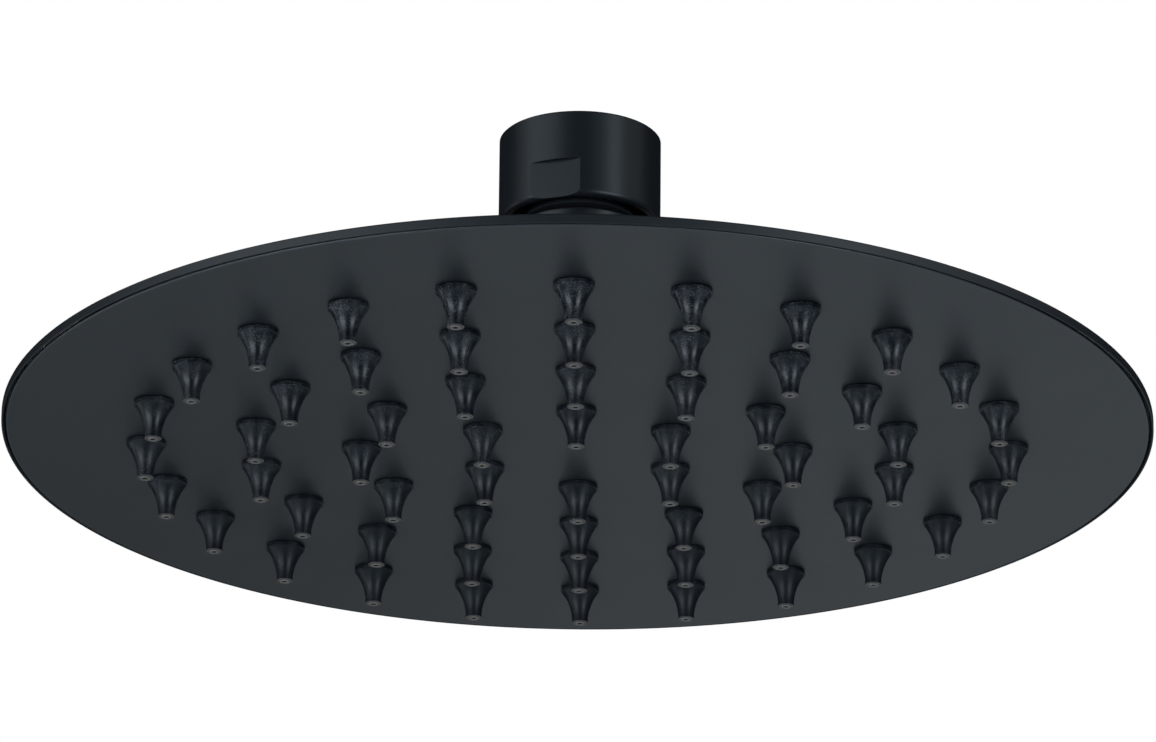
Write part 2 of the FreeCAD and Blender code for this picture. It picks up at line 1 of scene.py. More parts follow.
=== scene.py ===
"""Rain shower head on a ball joint: detailed pieces, finishes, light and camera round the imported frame."""
import json
import math

import bmesh
import bpy
from bpy.props import FloatProperty, FloatVectorProperty, IntProperty, PointerProperty
from mathutils import Matrix, Vector


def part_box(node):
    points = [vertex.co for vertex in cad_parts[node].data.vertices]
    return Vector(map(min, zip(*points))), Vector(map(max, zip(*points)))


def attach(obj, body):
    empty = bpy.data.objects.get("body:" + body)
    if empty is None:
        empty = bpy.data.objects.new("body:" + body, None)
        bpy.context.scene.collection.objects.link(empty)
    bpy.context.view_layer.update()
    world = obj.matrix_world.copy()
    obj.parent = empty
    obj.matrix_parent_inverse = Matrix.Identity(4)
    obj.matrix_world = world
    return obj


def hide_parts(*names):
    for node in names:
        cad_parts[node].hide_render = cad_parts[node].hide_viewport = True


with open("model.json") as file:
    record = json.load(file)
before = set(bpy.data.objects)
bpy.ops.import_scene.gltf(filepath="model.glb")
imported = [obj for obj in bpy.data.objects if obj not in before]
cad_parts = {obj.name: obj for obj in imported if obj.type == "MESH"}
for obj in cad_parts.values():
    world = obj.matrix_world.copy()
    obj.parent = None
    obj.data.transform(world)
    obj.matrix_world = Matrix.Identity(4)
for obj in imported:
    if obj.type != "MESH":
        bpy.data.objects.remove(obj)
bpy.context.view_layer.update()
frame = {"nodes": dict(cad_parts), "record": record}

bl_info = {
    "name": "Rain shower head",
    "version": (1, 0, 0),
    "blender": (4, 5, 0),
    "location": "3D View > Sidebar > Shower head",
    "description": "Makes the pieces of a round rain shower head round its packed solids",
    "category": "Mesh",
}

RECORD = frame["record"]
BODY_OF = {node: body for body, nodes in RECORD["behaviour"]["bodies"].items() for node in nodes}
SLOT_OF = {piece["node"]: piece["material_slot"] for piece in RECORD["subparts"]}
MM = 0.001
RINGS = (1, 2, 3, 4)
TURN = 2 * math.pi
TINY = 1e-7
# Roundings of edges
HAIR, FINE, SOFT, FULL = 0.05 * MM, 0.1 * MM, 0.2 * MM, 0.3 * MM
# Paint and silicone reflect a little less of the red
PAINT_SHEEN = (0.76, 0.90, 1.0, 1.0)
SILICONE_SHEEN = (0.80, 0.92, 1.0, 1.0)


def low(node):
    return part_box(node)[0].z


def high(node):
    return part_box(node)[1].z


def reach(node):
    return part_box(node)[1].x


def length(name, description, default):
    """A length in metres for the sidebar, given in millimetres."""
    return FloatProperty(name=name, description=description, default=default * MM,
                         min=0, precision=5, unit="LENGTH")


def angle(name, description, default):
    return FloatProperty(name=name, description=description, default=math.radians(default),
                         precision=4, unit="ROTATION")


def colour(name, description, default):
    return FloatVectorProperty(name=name, description=description, default=default,
                               min=0, max=1, size=3, subtype="COLOR")


class NutSizes(bpy.types.PropertyGroup):
    flat_depth: length("Flat depth", "Outside of the nut down to a wrench flat", 0.75)
    flat_height: length("Flat height", "Wrench flats, up from the lower end", 6.95)
    turn: angle("Turn", "Angle at which the tightened nut stands", -17.9)
    edge: length("Edge", "Rounding of the wrench flats' edges", 0.12)
    mouth_chamfer: length("Mouth chamfer", "Chamfer round the mouth end", 0.3)
    low_width: length("Low width", "Width of the rounded lower edge, seen from below", 0.85)
    low_height: length("Low height", "Height of the rounded lower edge", 1.3)
    recess_mouth: length("Recess mouth", "Radius of the recess at the lower end", 12.9)
    recess_top: length("Recess top", "Radius of the recess at its ceiling", 12.55)
    recess_ceiling: length("Recess ceiling", "Ball centre down to the recess's ceiling", 1.1)
    nose: length("Nose", "Outside of the lip that holds the liner", 9.9)
    lip_drop: length("Lip drop", "Ball centre down to the lip's end", 2.9)
    socket: length("Socket", "Radius of the hollow round the liner", 9.26)
    thread_crest: length("Thread crest", "Radius of the pipe thread's crests", 9.32)
    thread_root: length("Thread root", "Radius of the pipe thread's roots", 10.48)
    thread_pitch: length("Thread pitch", "Pitch of the half inch pipe thread", 1.814)
    thread_depth: length("Thread depth", "Mouth to the thread's relief", 6.2)
    thread_lead: length("Thread lead", "Chamfer at the thread's start", 0.3)
    relief: length("Relief", "Radius of the groove under the thread", 10.6)
    bore_floor: length("Bore floor", "Mouth down to the relief's floor", 8.0)


class JointSizes(bpy.types.PropertyGroup):
    ball: length("Ball", "Radius of the ball", 8.0)
    centre: length("Ball centre", "Mouth of the nut down to the ball's centre", 12.7)
    neck: length("Neck", "Radius of the stem's neck", 5.3)
    flange: length("Flange", "Radius of the stem's flange", 7.5)
    flange_drop: length("Flange drop", "Ball centre down to the flange", 6.5)
    flange_height: length("Flange height", "Thickness of the stem's flange", 1.8)
    thread: length("Thread", "Radius of the stem's male thread", 5.9)
    thread_pitch: length("Thread pitch", "Pitch of the stem's thread", 1.0)
    bore: length("Bore", "Radius of the water way", 3.4)
    key: length("Key", "Hexagon socket across its flats", 7.6)
    key_depth: length("Key depth", "Depth of the hexagon socket", 4.0)


class HubSizes(bpy.types.PropertyGroup):
    collar: length("Collar", "Radius of the collar", 11.4)
    collar_height: length("Collar height", "Straight collar above the flange", 8.6)
    collar_round: length("Collar rounding", "Rounding of the collar's top edge", 0.4)
    rim: length("Rim", "Rim round the dish in the collar", 1.2)
    dish: length("Dish", "Depth of the dish in the collar", 1.5)
    pocket: length("Pocket", "Radius of the pocket for the stem's flange", 7.8)
    pocket_floor: length("Pocket floor", "Collar's top down to the pocket's floor", 4.0)
    flange_height: length("Flange height", "Thickness of the hub's flange", 2.0)
    bore: length("Bore", "Radius of the bore for the stem's thread", 5.95)
    ledge: length("Ledge", "Collar's top down to the flow limiter's ledge", 17.2)
    outlet: length("Outlet", "Radius of the bore under the limiter", 4.2)
    spigot: length("Spigot", "Radius of the spigot through the bell", 8.5)


class HeadSizes(bpy.types.PropertyGroup):
    bell_sheet: length("Bell sheet", "Sheet of the bell", 0.8)
    bell_foot_width: length("Bell foot", "Width of the bell's foot", 6.0)
    bell_shoulder: length("Bell shoulder", "Radius of the bell's shoulder", 4.0)
    bell_ledge: length("Bell ledge", "Hub's flange to the bell's shoulder", 0.95)
    bell_hole: length("Bell hole", "Radius of the hole for the spigot", 8.7)
    plate_sheet: length("Plate sheet", "Sheet of both plates", 0.6)
    opening: length("Opening", "Radius of the back plate's opening", 47.0)
    rim_wall: length("Rim wall", "Turned-down rim of the back plate", 0.55)
    rim_round: length("Rim rounding", "Rounding of the rim's edges", 0.3)
    seam: length("Seam", "Edge of the face plate below the rim's thin end", 0.15)
    face_round: length("Face rounding", "Rounding of the face plate's edge", 0.25)
    crown: length("Crown", "How far the face plate bulges", 1.38)
    hole: length("Hole", "Radius of a nozzle's hole in the plate", 2.15)
    ring_width: length("Ring width", "Ring between the plates' edges", 2.2)


class NozzleSizes(bpy.types.PropertyGroup):
    pitch: length("Ring pitch", "Between two rings of nozzles", 18.75)
    step: IntProperty(name="Nozzles step", default=6, min=1,
                      description="Nozzles that each ring has more than the one inside it")
    height: length("Height", "Plate to tip", 6.9)
    flange: length("Flange", "Radius of the flange on the plate", 3.45)
    flange_height: length("Flange height", "Flange on the plate", 0.75)
    gap: length("Gap", "Flanges to the plate", 0.1)
    lip: length("Lip", "Flange's edge beyond the root of the body", 0.2)
    waist: length("Waist", "Radius half way down", 1.88)
    waist_drop: length("Waist drop", "Plate down to the waist", 3.65)
    neck: length("Neck", "Narrowest radius, over the tip", 1.42)
    tip: length("Tip", "Radius of the tip", 1.5)
    tip_height: length("Tip height", "Straight part of the tip", 0.5)
    collar: length("Jet collar", "Radius of the raised ring round the jet", 0.9)
    collar_height: length("Jet collar height", "How far that ring stands out", 0.18)
    jet: length("Jet", "Radius of the hole at the tip", 0.5)
    jet_length: length("Jet length", "Narrow part of the hole", 1.5)
    bore: length("Bore", "Radius of the hole behind the jet", 1.0)
    shank: length("Shank", "Radius in the plate's hole", 2.1)
    back: length("Back flange", "Radius of the flange behind the plate", 2.9)
    back_height: length("Back flange height", "Flange behind the plate", 0.5)
    lean: angle("Lean", "Most that a soft nozzle leans", 0.4)
    seed: IntProperty(name="Seed", description="Seed of the nozzles' lean and turn", default=7)


class InletSizes(bpy.types.PropertyGroup):
    washer_hole: length("Washer hole", "Radius of the washer's hole", 5.4)
    wire: length("Wire", "Radius of the screen's wires", 0.07)
    mesh: length("Mesh", "Between two wires of the screen", 0.42)
    screen_rim: length("Screen rim", "Width of the screen's pressed rim", 0.9)


class Finishes(bpy.types.PropertyGroup):
    paint: colour("Paint", "Satin black paint of the nut, hub and back", (0.0036, 0.0050, 0.0066))
    face: colour("Face", "Satin black paint of the face plate", (0.0032, 0.0045, 0.0058))
    silicone: colour("Silicone", "Black silicone of the nozzles", (0.0016, 0.0026, 0.0044))
    bloom: colour("Bloom", "Dusty bloom on the silicone", (0.0300, 0.0350, 0.0410))
    # Pale tip colour: rubbed silicone, and a painted highlight on the tips as well
    tip: colour("Tip", "Rubbed tips of the nozzles", (0.080, 0.079, 0.076))
    rubber: colour("Rubber", "Washer and sealing rings", (0.0160, 0.0160, 0.0170))
    acetal: colour("Acetal", "Natural acetal of the seat and limiter", (0.72, 0.70, 0.64))
    # The liner and the brass of the stem and the hub's nut are near black: painted shade that keeps the
    # recess under the nut dark
    liner: colour("Liner", "Black acetal of the liner under the ball", (0.004, 0.004, 0.005))
    brass: colour("Brass", "Blackened brass of the stem and the hub's nut", (0.012, 0.0108, 0.0095))
    steel: colour("Steel", "Bare stainless steel", (0.52, 0.52, 0.51))


class StageSizes(bpy.types.PropertyGroup):
    lens: FloatProperty(name="Lens", description="Focal length", default=232.2, subtype="DISTANCE_CAMERA")
    distance: length("Distance", "Camera to the middle of the face plate's rim", 1297.1)
    azimuth: angle("Azimuth", "Camera round the head", 0.606)
    elevation: angle("Elevation", "Camera above the head's plane", -20.618)
    lift: angle("Lift", "How far the camera looks over the middle", 0.5422)
    roll: angle("Roll", "Roll of the camera", -0.5666)
    floor_drop: length("Floor drop", "Mouth of the nut down to the floor", 620.0)
    ambient: FloatProperty(name="Ambient", description="World strength", default=0.30, min=0)


class Wire:
    """An output of a node that sums and products can be written on."""

    def __init__(self, graph, node, socket):
        self.graph, self.node, self.socket = graph, node, socket

    def __getitem__(self, name):
        return Wire(self.graph, self.node, self.node.outputs[name])

    def math(self, operation, *others):
        return self.graph.node("ShaderNodeMath", {"operation": operation},
                               dict(enumerate((self, *others))))

    def after(self, operation, other):
        """The operation with this wire as its second value."""
        return self.graph.node("ShaderNodeMath", {"operation": operation}, {0: other, 1: self})

    def __add__(self, other):
        return self.math("ADD", other)

    def __sub__(self, other):
        return self.math("SUBTRACT", other)

    def __rsub__(self, other):
        return self.after("SUBTRACT", other)

    def __mul__(self, other):
        return self.math("MULTIPLY", other)

    def __truediv__(self, other):
        return self.math("DIVIDE", other)

    def __rtruediv__(self, other):
        return self.after("DIVIDE", other)

    __radd__, __rmul__ = __add__, __mul__


class Graph:
    """A node tree that gets its nodes and links through one method."""

    def __init__(self, tree):
        self.tree = tree

    def node(self, kind, settings=None, sockets=None):
        """Add a node. Sockets are named by name or number, and take a wire or a plain value."""
        made = self.tree.nodes.new(kind)
        for name, value in (settings or {}).items():
            setattr(made, name, value)
        for key, value in (sockets or {}).items():
            slot = made.inputs[key] if isinstance(key, int) else next(
                item for item in made.inputs if item.name == key and item.enabled)
            for one in value if isinstance(value, list) else [value]:
                if isinstance(one, Wire):
                    self.tree.links.new(one.socket, slot)
                else:
                    slot.default_value = one
        first = next((item for item in made.outputs if item.enabled), None)
        return Wire(self, made, first)

    def noise(self, place, scale, detail=2.0, roughness=0.5):
        return self.node("ShaderNodeTexNoise", {}, {
            "Vector": place, "Scale": scale, "Detail": detail, "Roughness": roughness})

    def ramp(self, value, start, end):
        """0 up to start, 1 from end, and smooth between."""
        return self.node("ShaderNodeMapRange", {"interpolation_type": "SMOOTHSTEP"}, {
            "Value": value, "From Min": start, "From Max": end})

    def blend(self, share, first, second):
        def four(value):
            return value if isinstance(value, Wire) else (*value, 1)
        return self.node("ShaderNodeMix", {"data_type": "RGBA"}, {
            "Factor": share, "A": four(first), "B": four(second)})

    def bump(self, height, distance):
        return self.node("ShaderNodeBump", {}, {"Height": height, "Distance": distance, "Strength": 1.0})

    def xyz(self, x=0.0, y=0.0, z=0.0):
        return self.node("ShaderNodeCombineXYZ", {}, {"X": x, "Y": y, "Z": z})

    def parts(self, place):
        return self.node("ShaderNodeSeparateXYZ", {}, {"Vector": place})

    def across(self, place):
        """Distance from the head's axis."""
        parts = self.parts(place)
        return (parts["X"] * parts["X"] + parts["Y"] * parts["Y"]).math("SQRT")


def finish(name, build, **constants):
    """A material whose varying sockets come from build(graph, place)."""
    material = bpy.data.materials.new(name)
    material.use_nodes = True
    tree = material.node_tree
    tree.nodes.clear()
    graph = Graph(tree)
    place = graph.node("ShaderNodeTexCoord")["Object"]
    sockets = {key.replace("_", " ").title().replace("Ior", "IOR"): value
               for key, value in constants.items()}
    sockets.update(build(graph, place))
    shader = graph.node("ShaderNodeBsdfPrincipled", {}, sockets)
    graph.node("ShaderNodeOutputMaterial", {}, {"Surface": shader})
    return material


def scaled(tint, factor):
    return tuple(value * factor for value in tint)


def paint(name, tint, roughness, peel_depth, gloss, edge=None, inside=None):
    """Satin paint with orange peel, fine texture and uneven tone.

    A paler band on the turn of a plate's edge is a painted highlight, where the paint is also thin. Within
    the radius called inside it is dull.
    """
    # Where the painted highlight on the turn of the edge begins and ends
    painted_highlight_in, painted_highlight_out = (0.34 * MM, 0.22 * MM), (0.13 * MM, 0.06 * MM)

    def build(graph, place):
        broad = graph.noise(place, 45, 3)
        peel = graph.noise(place, 1500, 3, 0.55)
        speck = graph.ramp(graph.noise(place, 7000, 1), 0.60, 0.78)
        tone = graph.blend(broad * 0.55 + speck * 0.30, scaled(tint, 0.82), scaled(tint, 1.45))
        dull = roughness - 0.03 + broad * 0.05 + peel * 0.05
        if inside:
            dull = dull + (1 - graph.ramp(graph.across(place), inside, inside + FINE)) * 0.5
        if edge:
            across = graph.across(place)
            highlight_begun, highlight_ended = (graph.ramp(across, edge - start, edge - end)
                          for start, end in (painted_highlight_in, painted_highlight_out))
            # Painted highlight: the band on the edge is four times as light as the paint, where the paint is
            # also thin
            tone = graph.blend(highlight_begun * (1 - highlight_ended), tone, scaled(tint, 4))
        return {
            "Base Color": tone,
            "Roughness": dull,
            "Normal": graph.bump(peel, peel_depth),
        }
    return finish(name, build, specular_ior_level=gloss, specular_tint=PAINT_SHEEN)


def silicone(name, tint, bloom, rubbed_tip_and_highlight):
    """Black silicone with a paler tip, rubbed and lightened further as a painted highlight, and a dusty bloom
    painted stronger at the front than at the back, as painted light that falls more on the front rows.
    """
    outermost = 90 * MM

    def build(graph, place):
        back = graph.ramp(graph.parts(place)["Y"], -outermost, outermost)
        # Painted light: bloom and grains run from 1.9 times at the front to 0.2 at the back, standing in for
        # the light that falls more on the front rows
        share = 1.9 - back * 1.7
        along = graph.node("ShaderNodeAttribute", {"attribute_name": "along"})["Fac"]
        cloud = graph.noise(place, 420, 4, 0.6)
        fine = graph.noise(place, 5200, 2, 0.7)
        dust = graph.ramp(fine, 0.52, 0.74) * graph.ramp(cloud, 0.30, 0.72)
        grains = graph.ramp(graph.noise(place, 9000, 1), 0.58, 0.70) * graph.ramp(cloud, 0.30, 0.70)
        tip = graph.ramp(along, 0.955, 0.99)
        # Dusty bloom and grains, scaled by that painted front light
        body = graph.blend(dust * 0.60 * share, tint, bloom)
        body = graph.blend(grains * 0.6 * share, body, scaled(bloom, 3))
        # Paler tip: rubbed silicone and a painted highlight at the end of each nozzle
        pale = graph.blend(fine, scaled(rubbed_tip_and_highlight, 0.6), scaled(rubbed_tip_and_highlight, 1.4))
        return {
            "Base Color": graph.blend(tip * 0.8, body, pale),
            "Roughness": 0.24 + dust * 0.32 + cloud * 0.06 + back * 0.15,
            "Normal": graph.bump(fine * 0.6 + cloud, 9e-6),
        }
    return finish(name, build, specular_ior_level=0.12, specular_tint=SILICONE_SHEEN)


def rubber(name, tint, gloss=0.35):
    def build(graph, place):
        fine = graph.noise(place, 3800, 3)
        cloud = graph.noise(place, 300, 2)
        return {
            "Base Color": graph.blend(cloud * 0.7, tint, scaled(tint, 2.2)),
            "Roughness": 0.58 + fine * 0.18,
            "Normal": graph.bump(fine, 6e-6),
        }
    return finish(name, build, specular_ior_level=gloss)


def plastic(name, tint):
    """Acetal, with faint flow marks from its mould."""
    def build(graph, place):
        cloud = graph.noise(place, 160, 3)
        fine = graph.noise(place, 2600, 2)
        return {
            "Base Color": graph.blend(cloud, scaled(tint, 0.88), tint),
            "Roughness": 0.34 + fine * 0.14,
            "Normal": graph.bump(fine, 2e-6),
        }
    return finish(name, build, specular_ior_level=0.45)


def turned(name, tint, roughness):
    """Lathe-turned metal, whose marks run round the axis."""
    def build(graph, place):
        run = graph.xyz(x=graph.across(place), z=graph.parts(place)["Z"])
        marks = graph.noise(run, 6500, 3, 0.6)
        stain = graph.noise(place, 210, 3)
        return {
            "Base Color": graph.blend(stain, scaled(tint, 0.80), tint),
            "Roughness": roughness + marks * 0.16,
            "Normal": graph.bump(marks, 3e-6),
        }
    return finish(name, build, metallic=1.0)


def brushed(name, tint):
    """Bare stainless sheet with a fine straight grain."""
    def build(graph, place):
        along = graph.node("ShaderNodeMapping", {}, {"Vector": place, "Scale": (0.04, 1.0, 1.0)})
        grain = graph.noise(along, 5200, 3, 0.6)
        stain = graph.noise(place, 90, 2)
        return {
            "Base Color": graph.blend(stain, scaled(tint, 0.85), tint),
            "Roughness": 0.24 + grain * 0.22,
            "Normal": graph.bump(grain, 1.5e-6),
        }
    return finish(name, build, metallic=1.0)


def finish_of(node):
    """The detailed material of a node's slot, made on first use."""
    slot = SLOT_OF[node]
    name = f"{slot}_finish"
    found = bpy.data.materials.get(name)
    if found:
        return found
    tints = bpy.context.scene.shower_finishes
    mouth = bpy.context.scene.shower_nut.recess_mouth
    makers = {
        "nut_paint": lambda: paint(name, tints.paint, 0.33, 5e-6, 0.13, inside=mouth),
        "hub_paint": lambda: paint(name, tints.paint, 0.33, 5e-6, 0.16),
        "head_paint": lambda: paint(name, tints.paint, 0.42, 5e-6, 0.19),
        # The face plate gets the painted highlight along its rounded edge
        "face_paint": lambda: paint(name, tints.face, 0.42, 2.5e-6, 0.39, edge=reach(node)),
        "nozzle_silicone": lambda: silicone(name, tints.silicone, tints.bloom, tints.tip),
        "washer_rubber": lambda: rubber(name, tints.rubber),
        "seal_rubber": lambda: rubber(name, tints.rubber),
        "screen_steel": lambda: brushed(name, tints.steel),
        "seat_plastic": lambda: plastic(name, tints.acetal),
        "liner_plastic": lambda: rubber(name, tints.liner, 0.08),
        "limiter_plastic": lambda: plastic(name, tints.acetal),
        "stem_brass": lambda: turned(name, tints.brass, 0.22),
        "sheet_steel": lambda: brushed(name, tints.steel),
    }
    return makers[slot]()


def bend(start, middle, end, steps):
    """Points on the circle through three points, without the first and the last."""
    a, b, c = Vector(start), Vector(middle), Vector(end)
    d = 2 * (a.x * (b.y - c.y) + b.x * (c.y - a.y) + c.x * (a.y - b.y))
    squares = [point.length_squared for point in (a, b, c)]
    centre = Vector((
        (squares[0] * (b.y - c.y) + squares[1] * (c.y - a.y) + squares[2] * (a.y - b.y)) / d,
        (squares[0] * (c.x - b.x) + squares[1] * (a.x - c.x) + squares[2] * (b.x - a.x)) / d,
    ))
    first, last = a - centre, c - centre
    sweep = -first.angle_signed(last)
    made = []
    for number in range(1, steps):
        spot = centre + Matrix.Rotation(sweep * number / steps, 2) @ first
        made.append((spot.x, spot.y, 0))
    return made


def outline(corners, steps=4, guard=0.3):
    """Round the corners of a closed outline of (radius, level, rounding) corners.

    A guard point on each straight side next to a rounding keeps the side's shading flat.
    """
    made = []
    for number, (x, y, size) in enumerate(corners):
        here = Vector((x, y))
        if not size:
            made.append((x, y))
            continue
        back = Vector(corners[number - 1][:2]) - here
        ahead = Vector(corners[(number + 1) % len(corners)][:2]) - here
        half = back.angle(ahead) / 2
        cut = min(size / math.tan(half), 0.45 * back.length, 0.45 * ahead.length)
        size = cut * math.tan(half)
        back.normalize()
        ahead.normalize()
        centre = here + (back + ahead).normalized() * size / math.sin(half)
        first = here + back * cut - centre
        sweep = -first.angle_signed(here + ahead * cut - centre)
        made.append(tuple(here + back * cut * (1 + guard)))
        for step in range(steps + 1):
            made.append(tuple(centre + Matrix.Rotation(sweep * step / steps, 2) @ first))
        made.append(tuple(here + ahead * cut * (1 + guard)))
    return made


def lathe(points, segments, closed=True):
    """A bmesh swept round the axis from (radius, level) points. A point on the axis is a pole."""
    work = bmesh.new()
    rings = []
    for radius, level in points:
        count = segments if radius > TINY else 1
        rings.append([
            work.verts.new((radius * math.cos(TURN * k / count), radius * math.sin(TURN * k / count), level))
            for k in range(count)
        ])
    pairs = list(zip(rings, rings[1:]))
    if closed:
        pairs.append((rings[-1], rings[0]))
    for one, two in pairs:
        for k in range(segments):
            corners = [one[k % len(one)], one[(k + 1) % len(one)], two[(k + 1) % len(two)], two[k % len(two)]]
            corners = list(dict.fromkeys(corners))
            if len(corners) > 2:
                work.faces.new(corners)
    bmesh.ops.recalc_face_normals(work, faces=work.faces)
    return work


def band(inner, outer, bottom, top, edge):
    """Corners of a ring with a square section."""
    return [(inner, bottom, edge), (outer, bottom, edge), (outer, top, edge), (inner, top, edge)]


def piece_from(name, work):
    """An object from a bmesh, which is freed."""
    mesh = bpy.data.meshes.new(name)
    work.to_mesh(mesh)
    work.free()
    piece = bpy.data.objects.new(name, mesh)
    bpy.context.scene.collection.objects.link(piece)
    return piece


def smooth(piece, limit=32):
    """Smooth shading, with edges sharper than the limit left crisp."""
    piece.data.shade_smooth()
    piece.data.set_sharp_from_angle(angle=math.radians(limit))


def settle(piece, node):
    """Give a finished piece its node's material and body, and hide the node."""
    piece.data.materials.clear()
    piece.data.materials.append(finish_of(node))
    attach(piece, BODY_OF[node])
    SLOT_OF[node]
    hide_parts(node)


def turned_piece(name, node, corners, segments=192, steps=4):
    """A lathe-turned piece that stands for a node."""
    piece = piece_from(name, lathe(outline(corners, steps), segments))
    smooth(piece)
    settle(piece, node)
    return piece


def bake(piece):
    """Replace a piece's mesh by what its modifiers make of it."""
    graph = bpy.context.evaluated_depsgraph_get()
    made = bpy.data.meshes.new_from_object(
        piece.evaluated_get(graph), preserve_all_data_layers=True, depsgraph=graph)
    plain = piece.data
    piece.modifiers.clear()
    piece.data = made
    made.name = piece.name
    bpy.data.meshes.remove(plain)


def cut(piece, work):
    """Cut a closed bmesh out of a piece."""
    tool = piece_from("cutter", work)
    knife = piece.modifiers.new("cut", "BOOLEAN")
    knife.operation, knife.solver, knife.object = "DIFFERENCE", "EXACT", tool
    bake(piece)
    bpy.data.objects.remove(tool)


def prism(sides, circumradius, bottom, top):
    """A closed upright prism."""
    work = bmesh.new()
    rings = [[work.verts.new((circumradius * math.cos(TURN * k / sides),
                              circumradius * math.sin(TURN * k / sides), level))
              for k in range(sides)] for level in (bottom, top)]
    for k in range(sides):
        after = (k + 1) % sides
        work.faces.new((rings[0][k], rings[0][after], rings[1][after], rings[1][k]))
    work.faces.new(rings[0][::-1])
    work.faces.new(rings[1])
    return work


def grow(piece, tree_name, inputs, build):
    """Run a Geometry Nodes tree on a piece and keep its result as a plain mesh.

    Inputs are (name, socket type, value). build(graph, given) gets a wire for each input and
    for the piece's own geometry, and returns the geometry's wire.
    """
    tree = bpy.data.node_groups.new(tree_name, "GeometryNodeTree")
    tree.interface.new_socket("Geometry", in_out="INPUT", socket_type="NodeSocketGeometry")
    tree.interface.new_socket("Geometry", in_out="OUTPUT", socket_type="NodeSocketGeometry")
    names = {name: tree.interface.new_socket(name, in_out="INPUT", socket_type=kind).identifier
             for name, kind, _ in inputs}
    graph = Graph(tree)
    given = graph.node("NodeGroupInput")
    shape = build(graph, given)
    shape = graph.node("GeometryNodeRealizeInstances", {}, {"Geometry": shape})
    shape = graph.node("GeometryNodeSetMaterial", {}, {"Geometry": shape, "Material": given["Material"]})
    graph.node("NodeGroupOutput", {}, {"Geometry": shape})
    live = piece.modifiers.new(tree_name, "NODES")
    live.node_group = tree
    for name, _, value in inputs:
        live[names[name]] = value
    bake(piece)
    bpy.data.node_groups.remove(tree)


def ring_of_points(graph, count, radius, level):
    """A level circle of points, the first of them on the front side."""
    circle = graph.node("GeometryNodeMeshCircle", {}, {"Vertices": count, "Radius": radius})
    return graph.node("GeometryNodeTransform", {}, {
        "Geometry": circle, "Translation": graph.xyz(z=level), "Rotation": (0, 0, -math.pi / 2)})


